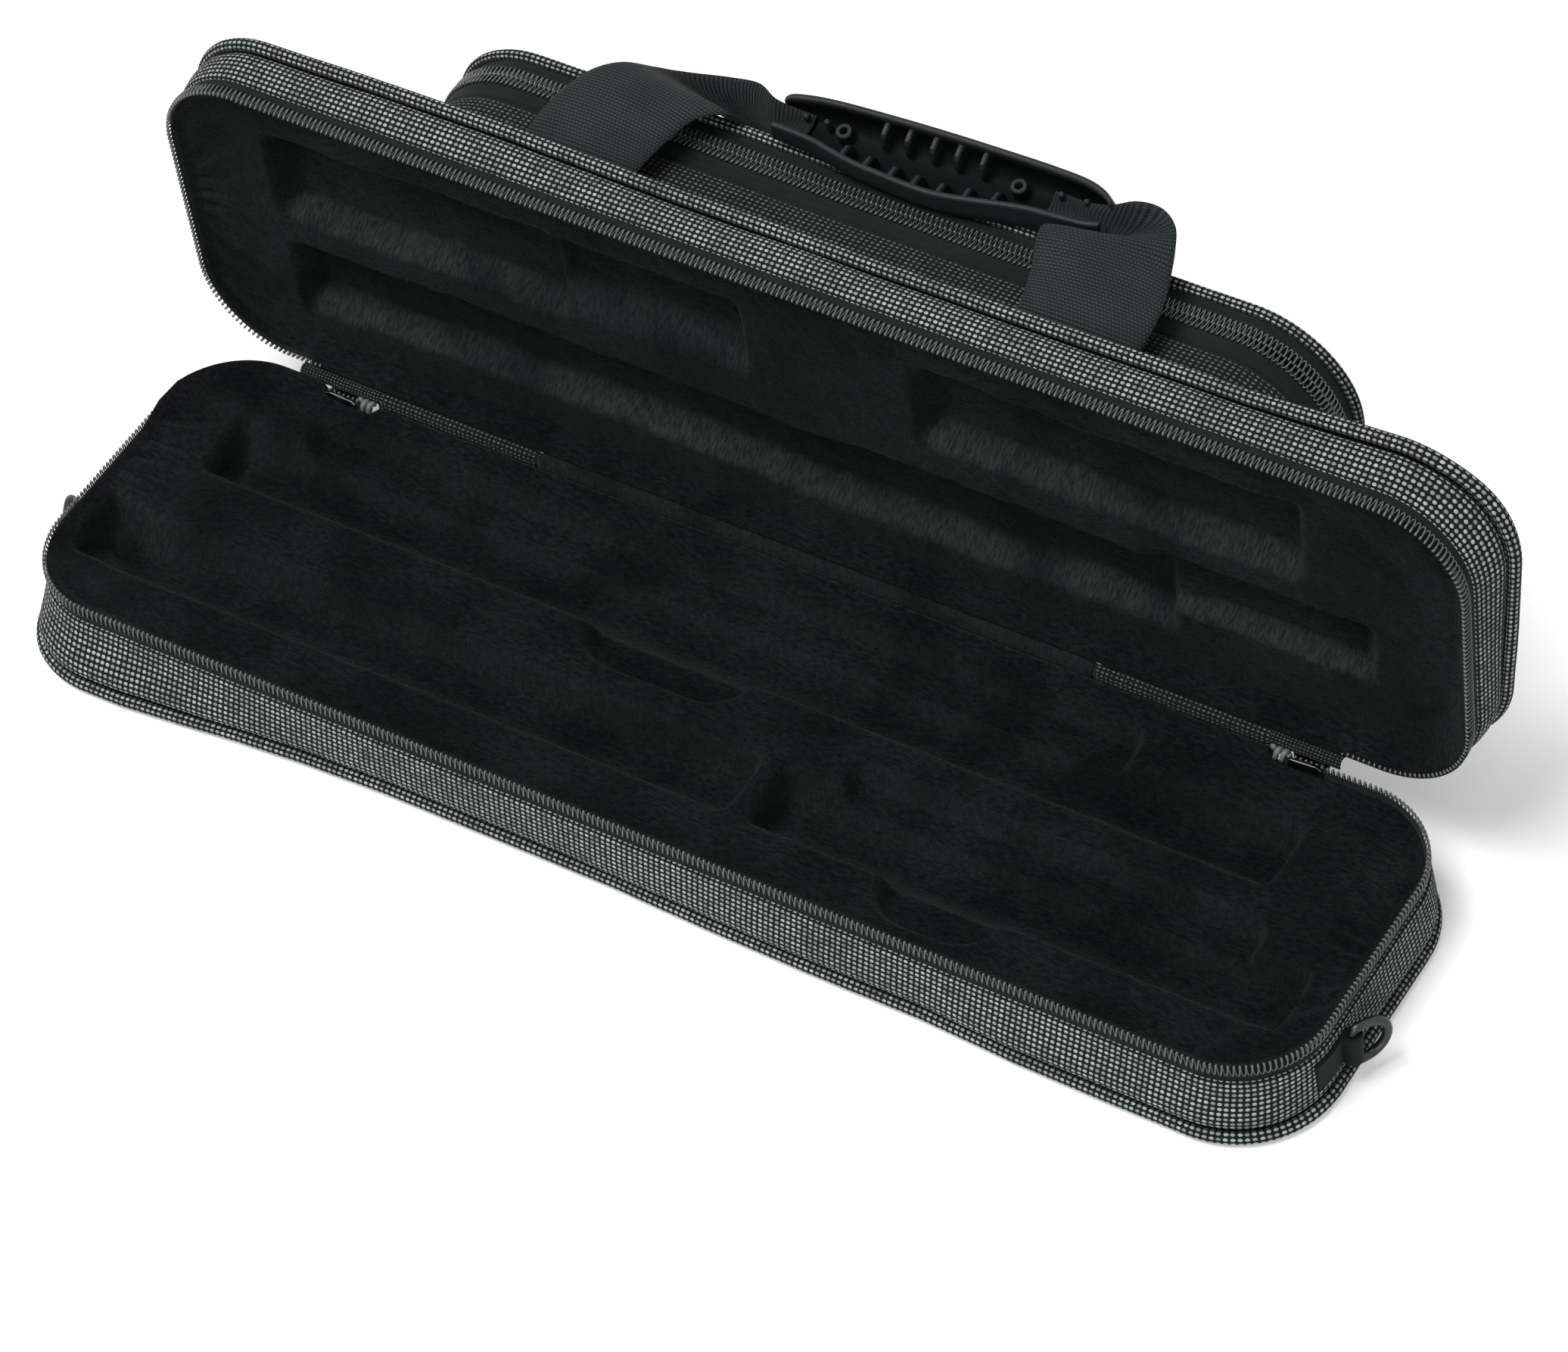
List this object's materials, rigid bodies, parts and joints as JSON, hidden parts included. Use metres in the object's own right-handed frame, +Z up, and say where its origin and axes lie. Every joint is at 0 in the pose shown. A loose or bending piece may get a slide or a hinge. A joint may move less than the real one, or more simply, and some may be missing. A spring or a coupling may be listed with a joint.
{
  "type": "flute case",
  "caption": "Soft zip case for a flute, open: padded tray with moulded troughs, hinged lid, zipped lid pocket, webbing handle and strap rings.",
  "frame": {"origin": "middle of the underside, on the surface the case rests on", "axes": "+X along the case, -Y to the front where the zip opens, +Y to the hinge, +Z up"},
  "size_m": [0.4438, 0.1941, 0.1504],
  "materials": {
    "case_cloth": "coarse woven nylon",
    "panel_cloth": "coarse woven nylon over padding",
    "piping": "woven cloth over cord",
    "board": "plain stiff board",
    "zip_tape": "herringbone tape",
    "zip_coil": "nylon coil",
    "foam": "moulded foam",
    "plush": "short-pile plush",
    "end_stop": "pale moulded plastic",
    "hinge_cloth": "coarse woven nylon",
    "pocket_cloth": "coarse woven nylon",
    "pocket_tape": "herringbone tape",
    "pocket_coil": "nylon coil",
    "pocket_front": "coarse woven nylon over padding",
    "webbing": "ribbed webbing",
    "grip": "satin moulded rubber",
    "rivet": "blackened",
    "tab_webbing": "ribbed webbing",
    "ring_wire": "black painted wire",
    "slider_metal": "black painted casting",
    "pull_metal": "black painted casting"
  },
  "bodies": {
    "base": {"base_wall_cloth": "case_cloth", "base_outer_panel": "panel_cloth", "base_piping": "piping", "base_wall_board": "board", "base_zip_tape": "zip_tape", "base_zip_coil": "zip_coil", "base_core": "foam", "base_lining": "plush", "zip_end_stops": "end_stop", "hinge_cloth_left": "hinge_cloth", "hinge_plush_cover": "plush", "hinge_cloth_right": "hinge_cloth", "ring_tab_left": "tab_webbing", "ring_tab_right": "tab_webbing"},
    "lid": {"lid_wall_cloth": "case_cloth", "lid_outer_panel": "panel_cloth", "lid_piping": "piping", "lid_wall_board": "board", "lid_zip_tape": "zip_tape", "lid_zip_coil": "zip_coil", "lid_core": "foam", "lid_lining": "plush", "lid_hinge_flap": "hinge_cloth", "pocket_gusset": "pocket_cloth", "pocket_hinge_cloth": "pocket_cloth", "pocket_tape_inner": "pocket_tape", "pocket_tape_outer": "pocket_tape", "pocket_coil_inner": "pocket_coil", "pocket_coil_outer": "pocket_coil", "pocket_piping": "piping", "pocket_panel": "pocket_front", "strap_anchor_left": "webbing", "strap_anchor_right": "webbing"},
    "handle": {"strap_band_left": "webbing", "strap_band_right": "webbing", "handle_grip": "grip", "grip_rivets": "rivet"},
    "pocket_slider": {"pocket_slider": "slider_metal"},
    "pocket_pull": {"pocket_pull": "pull_metal"},
    "shoulder_ring_left": {"shoulder_ring_left": "ring_wire"},
    "shoulder_ring_right": {"shoulder_ring_right": "ring_wire"},
    "zip_slider_left": {"zip_slider_left": "slider_metal"},
    "zip_slider_right": {"zip_slider_right": "slider_metal"},
    "zip_pull_left": {"zip_pull_left": "pull_metal"},
    "zip_pull_right": {"zip_pull_right": "pull_metal"}
  },
  "joints": [
    {"name": "lid_hinge", "type": "hinge", "parent": "base", "child": "lid", "pos_m": [0, 0.056, 0.029], "axis": [-1, 0, 0], "range_deg": [-90, 25]},
    {"name": "handle_swing", "type": "hinge", "parent": "lid", "child": "handle", "pos_m": [0, 0.1137, 0.1355], "axis": [1, 0, 0], "range_deg": [0, 100]},
    {"name": "pocket_slider_slide", "type": "slide", "parent": "lid", "child": "pocket_slider", "axis": [-1, 0, 0], "range_m": [0, 0.013]},
    {"name": "pocket_pull_swing", "type": "hinge", "parent": "pocket_slider", "child": "pocket_pull", "pos_m": [-0.097, 0.107, 0.03785], "axis": [1, 0, 0], "range_deg": [-75, 75]},
    {"name": "shoulder_ring_left_swing", "type": "hinge", "parent": "base", "child": "shoulder_ring_left", "pos_m": [-0.21498, -0.02, 0.014], "axis": [0, 0, 1], "range_deg": [-22, 115]},
    {"name": "shoulder_ring_right_swing", "type": "hinge", "parent": "base", "child": "shoulder_ring_right", "pos_m": [0.21498, -0.02, 0.014], "axis": [0, 0, 1], "range_deg": [-115, 22]},
    {"name": "zip_slider_left_slide", "type": "slide", "parent": "base", "child": "zip_slider_left", "axis": [-1, 0, 0], "range_m": [0, 0.014]},
    {"name": "zip_slider_right_slide", "type": "slide", "parent": "base", "child": "zip_slider_right", "axis": [1, 0, 0], "range_m": [0, 0.014]},
    {"name": "zip_pull_left_swing", "type": "hinge", "parent": "zip_slider_left", "child": "zip_pull_left", "pos_m": [-0.163, 0.05705, 0.0269], "axis": [1, 0, 0], "range_deg": [0, 55]},
    {"name": "zip_pull_right_swing", "type": "hinge", "parent": "zip_slider_right", "child": "zip_pull_right", "pos_m": [0.163, 0.05705, 0.0269], "axis": [1, 0, 0], "range_deg": [0, 55]}
  ]
}
